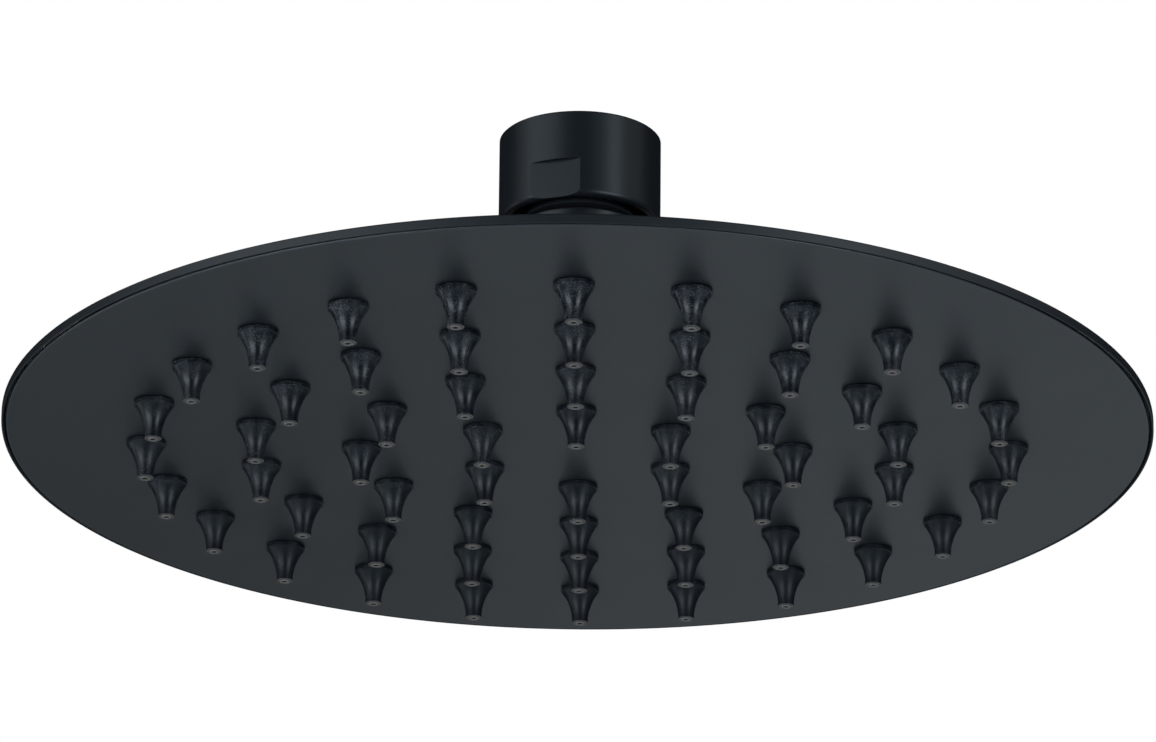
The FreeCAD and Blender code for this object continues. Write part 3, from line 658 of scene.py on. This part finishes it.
class SHOWER_OT_nut(bpy.types.Operator):
    """Make the swivel nut, with its pipe thread and two wrench flats"""
    bl_idname = "shower.nut"
    bl_label = "Swivel nut"

    def execute(self, context):
        sizes, joint = context.scene.shower_nut, context.scene.shower_joint
        node = "swivel_nut"
        bottom, top = low(node), high(node)
        radius = reach(node)
        centre = top - joint.centre
        ceiling, lip = centre - sizes.recess_ceiling, centre - sizes.lip_drop
        relief = top - sizes.thread_depth
        lead = sizes.thread_lead
        rows = 60
        thread = [(sizes.thread_root, relief + (top - lead - relief) * row / rows, 0)
                  for row in range(1, rows + 1)]
        socket = []
        steps = 12
        for step in range(steps + 1):
            drop = sizes.lip_drop * (1 - step / steps)
            socket.append((math.sqrt(sizes.socket ** 2 - drop ** 2), centre - drop, 0))
        steps = 14
        crown = [(radius - sizes.low_width * (1 - math.cos(TURN / 4 * step / steps)),
                  bottom + sizes.low_height * (1 - math.sin(TURN / 4 * step / steps)), 0)
                 for step in range(steps + 1)]
        guard = bottom + 1.2 * sizes.low_height
        points = outline([
            (sizes.thread_root + lead, top, HAIR),
            (radius - sizes.mouth_chamfer, top, FINE),
            (radius, top - sizes.mouth_chamfer, FINE),
            (radius, guard, 0),
            *crown,
            (sizes.recess_mouth, bottom, FINE),
            (sizes.recess_top, ceiling, 0.25 * MM),
            (sizes.nose, ceiling, SOFT),
            (sizes.nose, lip, 0.15 * MM),
            *socket,
            (sizes.thread_crest, centre, 0),
            (sizes.thread_crest, top - sizes.bore_floor, FINE),
            (sizes.relief, top - sizes.bore_floor, FINE),
            (sizes.relief, relief, HAIR),
            (sizes.thread_root, relief, 0),
            *thread,
        ])
        piece = piece_from("nut_shell", lathe(points, 240))
        self.cut_flats(piece, sizes, radius, bottom)
        self.round_flats(piece, sizes)
        self.cut_thread(piece, sizes, top, relief, lead)
        smooth(piece, 28)
        settle(piece, node)
        return {"FINISHED"}

    def cut_flats(self, piece, sizes, radius, bottom):
        flat = radius - sizes.flat_depth
        ledge = bottom + sizes.flat_height
        thick = 4 * MM
        for side in (0, math.pi):
            cutter = bmesh.new()
            bmesh.ops.create_cube(cutter, size=1)
            place = (Matrix.Rotation(sizes.turn + side, 4, "Z")
                     @ Matrix.Translation((0, -flat - thick / 2, (ledge + bottom - MM) / 2))
                     @ Matrix.Diagonal((2.4 * radius, thick, ledge - bottom + MM, 1)))
            bmesh.ops.transform(cutter, matrix=place, verts=cutter.verts)
            cut(piece, cutter)

    def round_flats(self, piece, sizes):
        """Round the edges of the flats and of the ledges over them."""
        out = Matrix.Rotation(sizes.turn, 3, "Z") @ Vector((0, -1, 0))
        work = bmesh.new()
        work.from_mesh(piece.data)
        bmesh.ops.remove_doubles(work, verts=work.verts, dist=TINY)
        edges = []
        for edge in work.edges:
            normals = [face.normal for face in edge.link_faces]
            flats = [abs(normal.dot(out)) > 0.9999 for normal in normals]
            if len(normals) == 2 and flats[0] != flats[1] and normals[0].angle(normals[1]) > 0.1:
                edges.append(edge)
        bmesh.ops.bevel(work, geom=edges, offset=sizes.edge, segments=3, profile=0.5,
                        affect="EDGES", clamp_overlap=True)
        bmesh.ops.remove_doubles(work, verts=work.verts, dist=2 * TINY)
        work.to_mesh(piece.data)
        work.free()

    def cut_thread(self, piece, sizes, top, relief, lead):
        """Raise the thread's ridge on the rows of points in the bore."""
        depth, run_out = sizes.thread_root - sizes.thread_crest, 0.4 * MM
        for point in piece.data.vertices:
            spot = point.co
            across = spot.xy.length
            if abs(across - sizes.thread_root) > 10 * TINY or not relief < spot.z < top:
                continue
            phase = (spot.z / sizes.thread_pitch + math.atan2(spot.y, spot.x) / TURN) % 1
            ridge = 1 - abs(2 * phase - 1)
            ridge = ridge * ridge * (3 - 2 * ridge)
            ridge *= min(1, (spot.z - relief) / run_out)
            radius = max(sizes.thread_root - depth * ridge, sizes.thread_root + lead - (top - spot.z))
            spot.xy *= radius / across


class SHOWER_OT_inlet(bpy.types.Operator):
    """Make the inlet washer and the woven filter screen in it"""
    bl_idname = "shower.inlet"
    bl_label = "Inlet washer and screen"

    def execute(self, context):
        sizes = context.scene.shower_inlet
        node = "inlet_washer"
        bottom, top, edge = low(node), high(node), 0.28 * MM
        room = 0.05 * MM
        under, over = low("filter_screen") - room, high("filter_screen") + room
        groove = reach("filter_screen") + room
        turned_piece("sealing_washer", node, [
            *band(sizes.washer_hole, reach(node), bottom, top, edge),
            (sizes.washer_hole, over, 0), (groove, over, 0),
            (groove, under, 0), (sizes.washer_hole, under, 0),
        ])
        self.weave_screen(sizes)
        return {"FINISHED"}

    def weave_screen(self, sizes):
        node = "filter_screen"
        bottom, top, outside = low(node), high(node), reach(node)
        level, rim, overlap = (bottom + top) / 2, 0.08 * MM, 0.3 * MM
        inside = outside - sizes.screen_rim
        piece = piece_from("woven_screen", lathe(outline(band(inside, outside, bottom, top, rim), 3), 128))

        def build(graph, given):
            gap, radius = given["Mesh"], given["Radius"]
            count = (radius / gap).math("FLOOR") * 2 + 1
            start = (count - 1) * gap * -0.5
            rows = graph.node("GeometryNodeMeshLine", {"mode": "OFFSET"}, {
                "Count": count, "Start Location": graph.xyz(y=start), "Offset": graph.xyz(y=gap)})
            run = graph.node("GeometryNodeCurvePrimitiveLine", {}, {
                "Start": graph.xyz(x=start), "End": graph.xyz(x=0 - start)})
            run = graph.node("GeometryNodeResampleCurve", {}, {
                "Curve": run, "Count": (count - 1) * 4 + 1})
            wires = graph.node("GeometryNodeInstanceOnPoints", {}, {"Points": rows, "Instance": run})
            warp = graph.node("GeometryNodeRealizeInstances", {}, {"Geometry": wires})
            weft = graph.node("GeometryNodeTransform", {}, {
                "Geometry": warp, "Rotation": (0, 0, math.pi / 2)})
            place = graph.node("GeometryNodeInputPosition")
            here = graph.parts(place)
            wave = ((here["X"] / gap * math.pi).math("COSINE")
                    * (here["Y"] / gap * math.pi).math("COSINE") * given["Wire"])
            outside_rim = graph.across(place).math("GREATER_THAN", radius)
            profile = graph.node("GeometryNodeCurvePrimitiveCircle", {}, {
                "Resolution": 6, "Radius": given["Wire"]})
            woven = []
            for threads, sign in ((warp, 1), (weft, -1)):
                threads = graph.node("GeometryNodeSetPosition", {}, {
                    "Geometry": threads, "Offset": graph.xyz(z=wave * sign + given["Level"])})
                threads = graph.node("GeometryNodeDeleteGeometry", {"domain": "POINT"}, {
                    "Geometry": threads, "Selection": outside_rim})
                woven.append(graph.node("GeometryNodeCurveToMesh", {}, {
                    "Curve": threads, "Profile Curve": profile, "Fill Caps": True}))
            return graph.node("GeometryNodeJoinGeometry", {}, {"Geometry": [given["Geometry"], *woven]})

        grow(piece, "woven screen", [
            ("Radius", "NodeSocketFloat", inside + overlap),
            ("Mesh", "NodeSocketFloat", sizes.mesh),
            ("Wire", "NodeSocketFloat", sizes.wire),
            ("Level", "NodeSocketFloat", level),
            ("Material", "NodeSocketMaterial", finish_of(node)),
        ], build)
        smooth(piece, 40)
        settle(piece, node)


class SHOWER_OT_stem(bpy.types.Operator):
    """Make the hollow ball stem with its hexagon socket and male thread"""
    bl_idname = "shower.stem"
    bl_label = "Ball stem"

    def execute(self, context):
        sizes = context.scene.shower_joint
        node = "ball_stem"
        centre, top, bottom = high("swivel_nut") - sizes.centre, high(node), low(node)
        flat = top - centre
        neck_drop = math.sqrt(sizes.ball ** 2 - sizes.neck ** 2)
        first, last = math.asin(flat / sizes.ball), -math.asin(neck_drop / sizes.ball)
        ball = []
        steps = 40
        for step in range(steps + 1):
            turn = first + (last - first) * step / steps
            ball.append((sizes.ball * math.cos(turn), centre + sizes.ball * math.sin(turn), 0))
        flange = centre - sizes.flange_drop
        under = flange - sizes.flange_height
        turns = int((under - bottom) / sizes.thread_pitch - 0.5)
        thread = []
        for turn in range(turns):
            start = under - 0.5 * sizes.thread_pitch - turn * sizes.thread_pitch
            root = sizes.thread - 0.55 * sizes.thread_pitch
            thread += [(sizes.thread, start, 0), (root, start - 0.45 * sizes.thread_pitch, 0),
                       (root, start - 0.55 * sizes.thread_pitch, 0)]
        points = outline([
            (sizes.bore, top, 0),
            *ball,
            (sizes.neck, flange, FULL),
            (sizes.flange, flange, SOFT),
            (sizes.flange, under, SOFT),
            (sizes.thread, under, 0),
            *thread,
            (sizes.thread - 0.2 * MM, bottom, FINE),
            (sizes.bore, bottom, FINE),
        ])
        piece = piece_from("hollow_ball_stem", lathe(points, 160))
        cut(piece, prism(6, sizes.key / math.sqrt(3), top - sizes.key_depth, top + MM))
        smooth(piece)
        settle(piece, node)
        return {"FINISHED"}


class SHOWER_OT_hub(bpy.types.Operator):
    """Make the hub with its collar, and the gasket under its flange"""
    bl_idname = "shower.hub"
    bl_label = "Hub and gasket"

    def execute(self, context):
        sizes = context.scene.shower_hub
        node = "neck_hub"
        top, bottom = high(node), low(node)
        foot = top - sizes.collar_height
        under = foot - sizes.flange_height
        dish, floor = top - sizes.dish, top - sizes.pocket_floor
        turned_piece("hub_collar", node, [
            (sizes.collar - sizes.rim, top, 0.15 * MM),
            (sizes.collar, top, sizes.collar_round),
            (sizes.collar, foot, FULL),
            (reach(node), foot, FULL),
            (reach(node), under, SOFT),
            (sizes.spigot, under, FINE),
            (sizes.spigot, bottom, 0.4 * MM),
            (sizes.outlet, bottom, SOFT),
            (sizes.outlet, top - sizes.ledge, FINE),
            (sizes.bore, top - sizes.ledge, FINE),
            (sizes.bore, floor, FINE),
            (sizes.pocket, floor, FINE),
            (sizes.pocket, dish, 0.15 * MM),
            (sizes.collar - sizes.rim, dish, 0.4 * MM),
        ], 192, 6)
        node = "hub_gasket"
        hole = context.scene.shower_head.bell_hole
        turned_piece("bell_gasket", node, band(hole, reach(node), low(node), high(node), 0.25 * MM), 160)
        return {"FINISHED"}


class SHOWER_OT_bell(bpy.types.Operator):
    """Make the spun bell on the back plate"""
    bl_idname = "shower.bell"
    bl_label = "Bell"

    def execute(self, context):
        sizes = context.scene.shower_head
        node = "bell"
        top, bottom = high(node), low(node)
        edge = reach(node)
        foot = edge - sizes.bell_foot_width
        crown = reach("neck_hub") + sizes.bell_ledge
        foot_top = bottom + sizes.bell_sheet
        rise, span = top - foot_top, foot - crown
        slope = 2 * math.atan(rise / span)
        flare = rise / (1 - math.cos(slope)) - sizes.bell_shoulder
        steps = 28

        def shoulder(size):
            return [(crown + size * math.sin(slope * k / steps),
                     top - sizes.bell_shoulder + size * math.cos(slope * k / steps), 0)
                    for k in range(steps + 1)]

        def skirt(size):
            return [(foot - size * math.sin(slope * (1 - k / steps)),
                     foot_top + flare - size * math.cos(slope * (1 - k / steps)), 0)
                    for k in range(1, steps + 1)]

        outside = shoulder(sizes.bell_shoulder) + skirt(flare)
        inside = shoulder(sizes.bell_shoulder - sizes.bell_sheet) + skirt(flare + sizes.bell_sheet)
        guard = 0.2 * MM
        turned_piece("spun_bell", node, [
            (sizes.bell_hole, top, FINE),
            (crown - guard, top, 0),
            *outside,
            (foot + guard, foot_top, 0),
            (edge, foot_top, FULL),
            (edge, bottom, HAIR),
            (foot + guard, bottom, 0),
            *inside[::-1],
            (sizes.bell_hole, top - sizes.bell_sheet, FINE),
        ], 256)
        return {"FINISHED"}


class SHOWER_OT_plates(bpy.types.Operator):
    """Make the back plate, the drilled face plate and the ring in the seam"""
    bl_idname = "shower.plates"
    bl_label = "Plates"

    def execute(self, context):
        sizes, nozzles = context.scene.shower_head, context.scene.shower_nozzles
        node = "back_plate"
        top, bottom, radius = high(node), low(node), reach(node)
        under, fine = top - sizes.plate_sheet, 0.08 * MM
        turned_piece("rimmed_back_plate", node, [
            (sizes.opening, under, fine),
            (sizes.opening, top, fine),
            (radius, top, sizes.rim_round),
            (radius, bottom + sizes.seam, sizes.rim_round),
            (radius - 0.45 * sizes.rim_wall, bottom + sizes.seam, fine),
            (radius - sizes.rim_wall, bottom + sizes.rim_wall, fine),
            (radius - sizes.rim_wall, under, SOFT),
        ], 384, 6)
        node = "edge_ring"
        outside = reach(node)
        inside = outside - sizes.ring_width
        turned_piece("seam_ring", node, band(inside, outside, low(node), high(node), fine), 256)
        self.face_plate(sizes, nozzles, bottom)
        return {"FINISHED"}

    def face_plate(self, sizes, nozzles, level):
        node = "face_plate"
        radius = reach(node)
        inner = radius - sizes.face_round
        sphere = (inner ** 2 + sizes.crown ** 2) / (2 * sizes.crown)
        lowest, rows = low(node), 30
        turned_in, drill_depth = inner - 0.4 * MM, 8 * MM

        def crowned(across, thickness):
            return lowest + thickness + sphere - math.sqrt(sphere ** 2 - across ** 2)

        spots = [inner * row / rows for row in range(rows)]
        edge = outline([
            (turned_in, level, 0),
            (radius, level, sizes.face_round),
            (radius, level + sizes.plate_sheet, HAIR),
            (turned_in, level + sizes.plate_sheet, 0),
        ], 8)[1:-1]
        points = [(across, crowned(across, 0)) for across in spots]
        points += edge
        points += [(across, crowned(across, sizes.plate_sheet)) for across in reversed(spots)]
        piece = piece_from("crowned_face_plate", lathe(points, 384, closed=False))

        def build(graph, given):
            drills = []
            for ring in RINGS:
                circle = ring_of_points(graph, given["Step"] * ring, given["Pitch"] * ring, given["Level"])
                drill = graph.node("GeometryNodeMeshCylinder", {}, {
                    "Vertices": 40, "Radius": given["Hole"], "Depth": drill_depth})
                drills.append(graph.node("GeometryNodeInstanceOnPoints", {}, {
                    "Points": circle, "Instance": drill}))
            return graph.node("GeometryNodeMeshBoolean", {"operation": "DIFFERENCE", "solver": "EXACT"}, {
                "Mesh 1": given["Geometry"], "Mesh 2": drills})

        grow(piece, "nozzle holes", [
            ("Step", "NodeSocketInt", nozzles.step),
            ("Pitch", "NodeSocketFloat", nozzles.pitch),
            ("Hole", "NodeSocketFloat", sizes.hole),
            ("Level", "NodeSocketFloat", level),
            ("Material", "NodeSocketMaterial", finish_of(node)),
        ], build)
        smooth(piece)
        settle(piece, node)


class SHOWER_OT_nozzles(bpy.types.Operator):
    """Make the four rings of silicone nozzles"""
    bl_idname = "shower.nozzles"
    bl_label = "Nozzles"

    def execute(self, context):
        sizes = context.scene.shower_nozzles
        for ring in RINGS:
            self.ring(sizes, ring)
        return {"FINISHED"}

    def nozzle(self, sizes):
        """Outline of one nozzle, whose level 0 is the plate's face."""
        tip, back = -sizes.height, bpy.context.scene.shower_head.plate_sheet + sizes.gap
        under = -sizes.gap - sizes.flange_height
        neck = (sizes.neck, tip + sizes.tip_height)
        root = (sizes.flange - sizes.lip, under)
        hollow = tip + sizes.collar_height
        soft, ring_slope = 0.07 * MM, 0.04 * MM
        return outline([
            (sizes.jet, tip, soft),
            (sizes.collar, tip, soft),
            (sizes.collar + ring_slope, hollow, ring_slope),
            (sizes.tip, hollow, 0.18 * MM),
            (sizes.tip, tip + sizes.tip_height, soft),
            (*neck, 0),
            *bend(neck, (sizes.waist, -sizes.waist_drop), root, 12),
            (*root, 0),
            (sizes.flange, under, SOFT),
            (sizes.flange, -sizes.gap, soft),
            (sizes.shank, -sizes.gap, 0),
            (sizes.shank, back, 0),
            (sizes.back, back, soft),
            (sizes.back, back + sizes.back_height, 0.15 * MM),
            (sizes.bore, back + sizes.back_height, 0),
            (sizes.bore, tip + sizes.jet_length, 0),
            (sizes.jet, tip + sizes.jet_length, 0),
        ], 3)

    def ring(self, sizes, ring):
        node = f"nozzle_ring_{ring}"
        piece = piece_from(f"silicone_nozzles_{ring}", lathe(self.nozzle(sizes), 36))
        smooth(piece, 40)
        along = piece.data.attributes.new("along", "FLOAT", "POINT")
        along.data.foreach_set("value", [-point.co.z / sizes.height for point in piece.data.vertices])

        def build(graph, given):
            circle = ring_of_points(graph, given["Count"], given["Ring radius"], given["Level"])
            lean = given["Lean"]
            pose = graph.node("FunctionNodeRandomValue", {"data_type": "FLOAT_VECTOR"}, {
                "Min": graph.xyz(0 - lean, 0 - lean, -TURN / 2),
                "Max": graph.xyz(lean, lean, TURN / 2),
                "Seed": given["Seed"]})
            return graph.node("GeometryNodeInstanceOnPoints", {}, {
                "Points": circle, "Instance": given["Geometry"], "Rotation": pose})

        grow(piece, "nozzle ring", [
            ("Count", "NodeSocketInt", ring * sizes.step),
            ("Ring radius", "NodeSocketFloat", ring * sizes.pitch),
            ("Level", "NodeSocketFloat", low(node) + sizes.height + 0.01 * MM),
            ("Lean", "NodeSocketFloat", sizes.lean),
            ("Seed", "NodeSocketInt", sizes.seed + ring),
            ("Material", "NodeSocketMaterial", finish_of(node)),
        ], build)
        settle(piece, node)


class SHOWER_OT_kept_solids(bpy.types.Operator):
    """Give the solids that stay as they are their finishes"""
    bl_idname = "shower.kept_solids"
    bl_label = "Inner pieces"

    def execute(self, context):
        for name, solid in frame["nodes"].items():
            if solid.hide_render:
                continue
            solid.data.materials.clear()
            solid.data.materials.append(finish_of(name))
        return {"FINISHED"}


class SHOWER_OT_stage(bpy.types.Operator):
    """Make the floor, the lamps, the world and the camera"""
    bl_idname = "shower.stage"
    bl_label = "Stage"

    def execute(self, context):
        scene, sizes = context.scene, context.scene.shower_stage
        scene.view_settings.view_transform = "Standard"
        self.floor(sizes)
        self.world(scene, sizes)
        self.lamps(scene)
        self.flags()
        self.camera(scene, sizes)
        return {"FINISHED"}

    def floor(self, sizes):
        """A pale floor that turns to plain white far from the head, and can be seen only from above."""
        level = -sizes.floor_drop
        spans = [0.0, 0.3, 0.6, 1.0, 1.6, 2.5, 4.0, 6.0, 9.0, 14.0]
        floor = piece_from("floor", lathe([(span, level) for span in spans], 96, closed=False))
        for face in floor.data.polygons:
            if face.normal.z < 0:
                face.flip()
        material = bpy.data.materials.new("pale_floor")
        material.use_nodes = True
        material.node_tree.nodes.clear()
        graph = Graph(material.node_tree)
        place = graph.node("ShaderNodeTexCoord")["Object"]
        rays = graph.node("ShaderNodeLightPath")
        grain = graph.noise(place, 25, 3)
        pale = graph.node("ShaderNodeBsdfDiffuse", {}, {
            "Color": graph.blend(grain, (0.61, 0.66, 0.70), (0.67, 0.72, 0.76))})
        white = graph.node("ShaderNodeEmission", {}, {"Color": (1, 1, 1, 1), "Strength": 1.0})
        far = graph.ramp(graph.across(place), 1.2, 4.5) * rays["Is Camera Ray"]
        top = graph.node("ShaderNodeMixShader", {}, {0: far, 1: pale, 2: white})
        clear = graph.node("ShaderNodeBsdfTransparent")
        under = graph.node("ShaderNodeNewGeometry")["Backfacing"] * rays["Is Camera Ray"]
        look = graph.node("ShaderNodeMixShader", {}, {0: under, 1: top, 2: clear})
        graph.node("ShaderNodeOutputMaterial", {}, {"Surface": look})
        floor.data.materials.append(material)

    def world(self, scene, sizes):
        scene.world = bpy.data.worlds.new("studio")
        scene.world.use_nodes = True
        scene.world.node_tree.nodes.clear()
        graph = Graph(scene.world.node_tree)
        rays = graph.node("ShaderNodeLightPath")
        seen = rays["Is Camera Ray"].math("MAXIMUM", rays["Is Glossy Ray"])
        seen = seen.math("MAXIMUM", rays["Is Transmission Ray"])
        sky = graph.node("ShaderNodeBackground", {}, {
            "Color": (1, 1, 1, 1), "Strength": seen * (1 - sizes.ambient) + sizes.ambient})
        graph.node("ShaderNodeOutputWorld", {}, {"Surface": sky})

    def lamps(self, scene):
        """Soft boxes: (name, place, aimed at, width, height, watts). The top one isn't reflected."""
        for name, place, target, width, height, power in (
            ("left_box", (-1.65, -1.15, 0.75), (0, 0, 0), 1.75, 1.2, 18),
            ("right_box", (1.45, -1.20, 0.75), (0, 0, 0), 0.5, 1.2, 11.5),
            ("left_low_box", (-1.40, -1.20, -0.40), (0, 0, 0), 1.7, 0.3, 30),
            ("right_low_box", (1.20, -1.28, -0.40), (0, 0, 0), 1.0, 0.3, 21),
            ("top_box", (0.2, 1.2, 2.2), (0.2, 1.0, 0), 1.6, 1.6, 30),
            ("left_strip", (-0.43, -0.43, -0.42), (0, 0, -0.06), 0.08, 0.85, 0.6),
            ("right_strip", (0.43, -0.43, -0.42), (0, 0, -0.06), 0.08, 0.85, 0.4),
            ("side_strip", (-0.60, 0.16, -0.38), (0, 0, -0.06), 0.08, 0.70, 0.8),
        ):
            lamp = bpy.data.lights.new(name, "AREA")
            lamp.shape, lamp.size, lamp.size_y, lamp.energy = "RECTANGLE", width, height, power
            box = bpy.data.objects.new(name, lamp)
            box.location = place
            aim = Vector(target) - Vector(place)
            box.rotation_euler = aim.to_track_quat("-Z", "Y").to_euler()
            box.visible_camera = False
            box.visible_glossy = name != "top_box"
            scene.collection.objects.link(box)

    def flags(self):
        """Dark cards that only reflections see: (name, place, width, height, the way it faces)."""
        black = finish("matt_card", lambda graph, place: {
            "Base Color": graph.blend(graph.noise(place, 9), (0.008, 0.008, 0.008), (0.014, 0.014, 0.014)),
        }, specular_ior_level=0.0, roughness=0.9)
        for name, place, width, height, way in (
            ("left_flag", (-1.7, 1.5, 0.4), 3.0, 3.0, (1, -1, 0)),
            ("right_flag", (1.7, 1.5, 0.4), 3.0, 3.0, (-1, -1, 0)),
            ("back_flag", (0, 2.9, 1.1), 2.8, 2.6, (0, -1, 0)),
            ("low_flag", (-1.35, 1.15, -0.45), 2.6, 0.38, (0, -1, 0)),
            ("top_flag", (0, 0, 2.5), 6.0, 6.0, (0, 0, -1)),
            ("front_flag", (0, -1.0, -0.1), 0.7, 2.2, (0, 1, 0)),
        ):
            work = bmesh.new()
            bmesh.ops.create_grid(work, x_segments=1, y_segments=1, size=0.5)
            card = piece_from(name, work)
            card.scale = (width, height, 1)
            card.location = place
            card.rotation_euler = Vector(way).to_track_quat("Z", "Y").to_euler()
            card.data.materials.append(black)
            for ray in ("camera", "diffuse", "transmission", "volume_scatter", "shadow"):
                setattr(card, f"visible_{ray}", False)

    def camera(self, scene, sizes):
        """The camera looks up at the head's middle, a little over it and slightly rolled."""
        rise = sizes.elevation
        middle = Vector((0, 0, low("back_plate")))
        place = Vector((0, -math.cos(rise), math.sin(rise))) * sizes.distance
        ahead = -place.normalized()
        right = Vector((1, 0, 0))
        up = right.cross(ahead)
        lift, roll = sizes.lift, sizes.roll
        up, ahead = (up * math.cos(lift) - ahead * math.sin(lift),
                     up * math.sin(lift) + ahead * math.cos(lift))
        right, up = (right * math.cos(roll) - up * math.sin(roll),
                     right * math.sin(roll) + up * math.cos(roll))
        pose = Matrix((right, up, -ahead)).transposed().to_4x4()
        pose.translation = place
        lens = bpy.data.cameras.new("camera")
        lens.lens, lens.sensor_width = sizes.lens, 36
        camera = bpy.data.objects.new("camera", lens)
        camera.matrix_world = Matrix.Translation(middle) @ Matrix.Rotation(sizes.azimuth, 4, "Z") @ pose
        scene.collection.objects.link(camera)
        scene.camera = camera


OPERATORS = (
    SHOWER_OT_nut, SHOWER_OT_inlet, SHOWER_OT_stem, SHOWER_OT_hub, SHOWER_OT_bell,
    SHOWER_OT_plates, SHOWER_OT_nozzles, SHOWER_OT_kept_solids, SHOWER_OT_stage,
)
SETTINGS = {
    "shower_nut": NutSizes, "shower_joint": JointSizes, "shower_hub": HubSizes,
    "shower_head": HeadSizes, "shower_nozzles": NozzleSizes, "shower_inlet": InletSizes,
    "shower_finishes": Finishes, "shower_stage": StageSizes,
}


class SHOWER_PT_panel(bpy.types.Panel):
    """Operators and sizes of the shower head"""
    bl_label = "Rain shower head"
    bl_space_type = "VIEW_3D"
    bl_region_type = "UI"
    bl_category = "Shower head"

    def draw(self, context):
        for operator in OPERATORS:
            self.layout.operator(operator.bl_idname)
        for name, group in SETTINGS.items():
            box = self.layout.box()
            for field in group.__annotations__:
                box.prop(getattr(context.scene, name), field)


def register():
    for group in SETTINGS.values():
        bpy.utils.register_class(group)
    for operator in OPERATORS:
        bpy.utils.register_class(operator)
    bpy.utils.register_class(SHOWER_PT_panel)
    for name, group in SETTINGS.items():
        setattr(bpy.types.Scene, name, PointerProperty(type=group))


def unregister():
    for name in SETTINGS:
        delattr(bpy.types.Scene, name)
    bpy.utils.unregister_class(SHOWER_PT_panel)
    for one in (*OPERATORS, *SETTINGS.values()):
        bpy.utils.unregister_class(one)


def main():
    register()
    bpy.ops.shower.nut()
    bpy.ops.shower.inlet()
    bpy.ops.shower.stem()
    bpy.ops.shower.hub()
    bpy.ops.shower.bell()
    bpy.ops.shower.plates()
    bpy.ops.shower.nozzles()
    bpy.ops.shower.kept_solids()
    bpy.ops.shower.stage()


if __name__ == "__main__":
    main()
